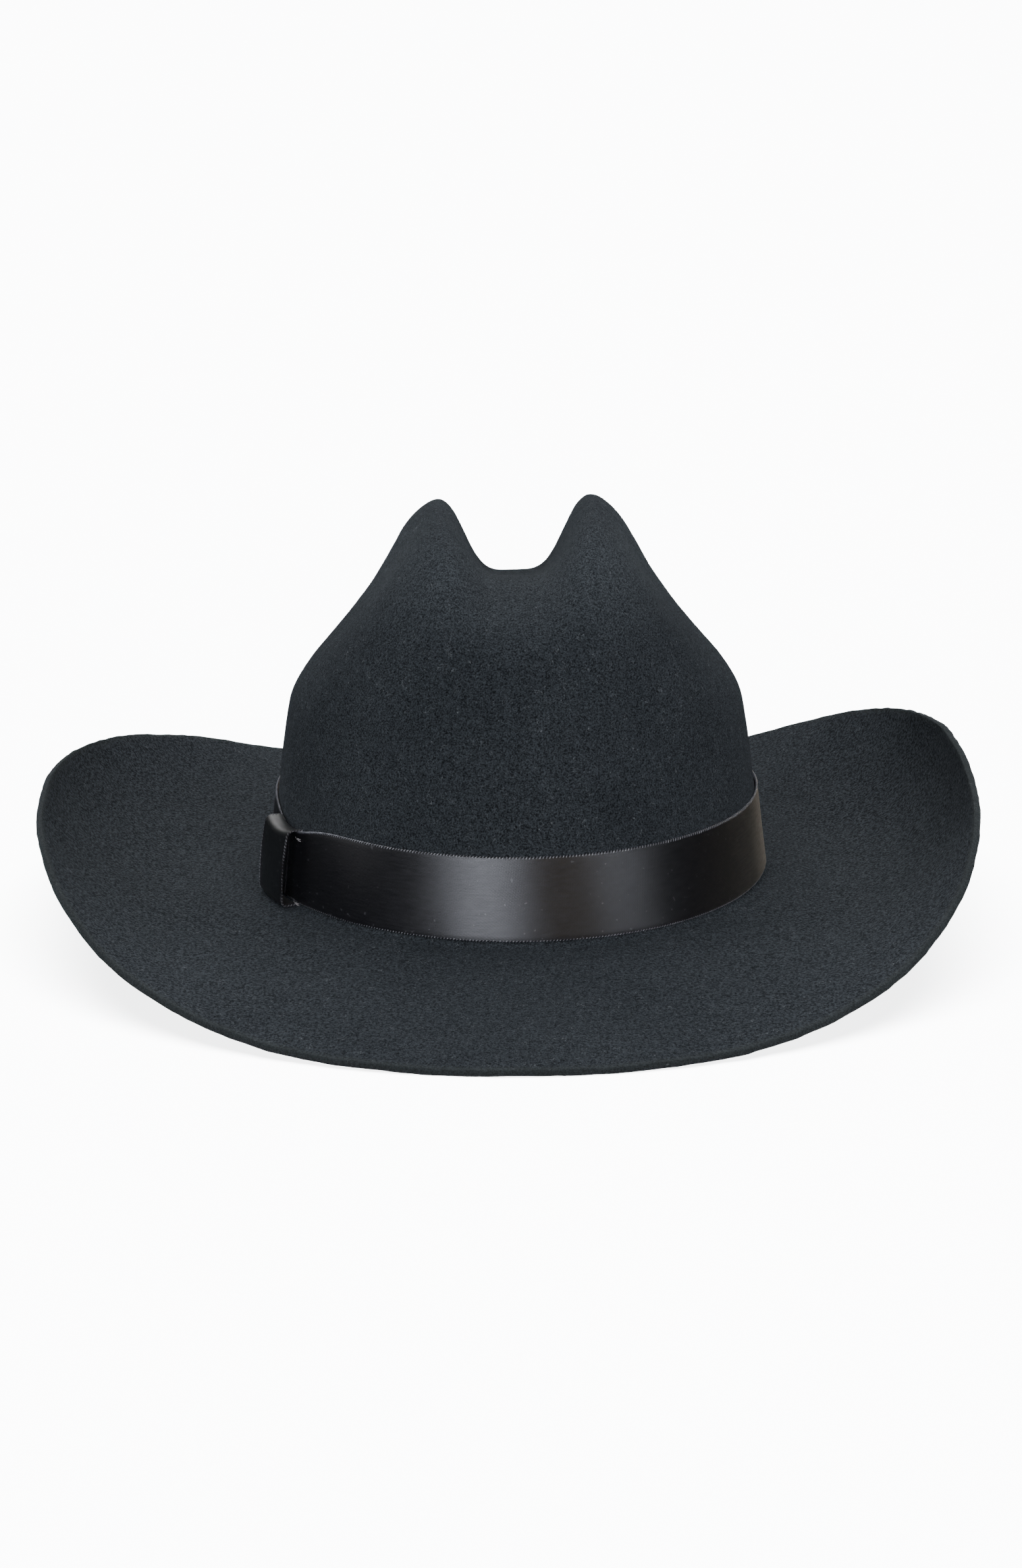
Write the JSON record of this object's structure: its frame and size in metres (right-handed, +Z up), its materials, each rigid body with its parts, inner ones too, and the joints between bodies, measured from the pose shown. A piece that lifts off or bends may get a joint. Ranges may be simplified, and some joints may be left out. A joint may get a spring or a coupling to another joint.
{
  "type": "cowboy hat",
  "caption": "Cattleman-crease western hat: one-piece felt crown and brim with a satin ribbon band and keeper, a leather sweatband on a reed, and a satin liner.",
  "frame": {"origin": "on the surface that the hat stands on, under the middle of its outer box", "axes": "+Z up through the crown, +Y to the front of the hat, +X to the wearer's right"},
  "size_m": [0.3259, 0.3882, 0.1485],
  "materials": {
    "wool_felt": "matt black wool felt with a short fuzzy nap",
    "ribbon_satin": "glossy black satin with a fine twill line and a corded selvedge",
    "tack_thread": "matt grey sewing thread",
    "sweatband_leather": "semi-matt dark brown leather",
    "reed_plastic": "semi-matt pale plastic rod",
    "woven_tape": "matt black woven tape",
    "seam_thread": "waxed dark thread",
    "label_weave": "matt off-white woven label, blank",
    "liner_satin": "soft dark satin lining",
    "clear_film": "clear flexible film"
  },
  "bodies": {
    "root": {"felt_body": "wool_felt", "hatband": "ribbon_satin", "ribbon_keeper": "ribbon_satin", "keeper_tack_upper": "tack_thread", "keeper_tack_lower": "tack_thread", "sweatband": "sweatband_leather", "sweatband_reed": "reed_plastic", "reed_tape": "woven_tape", "sweatband_seam_thread": "seam_thread", "sweatband_joint_tape": "woven_tape", "sweatband_joint_thread": "seam_thread", "sweatband_bow": "ribbon_satin", "size_label": "label_weave", "liner_side": "liner_satin", "liner_tip": "liner_satin", "liner_sweat_guard": "clear_film"}
  },
  "joints": []
}
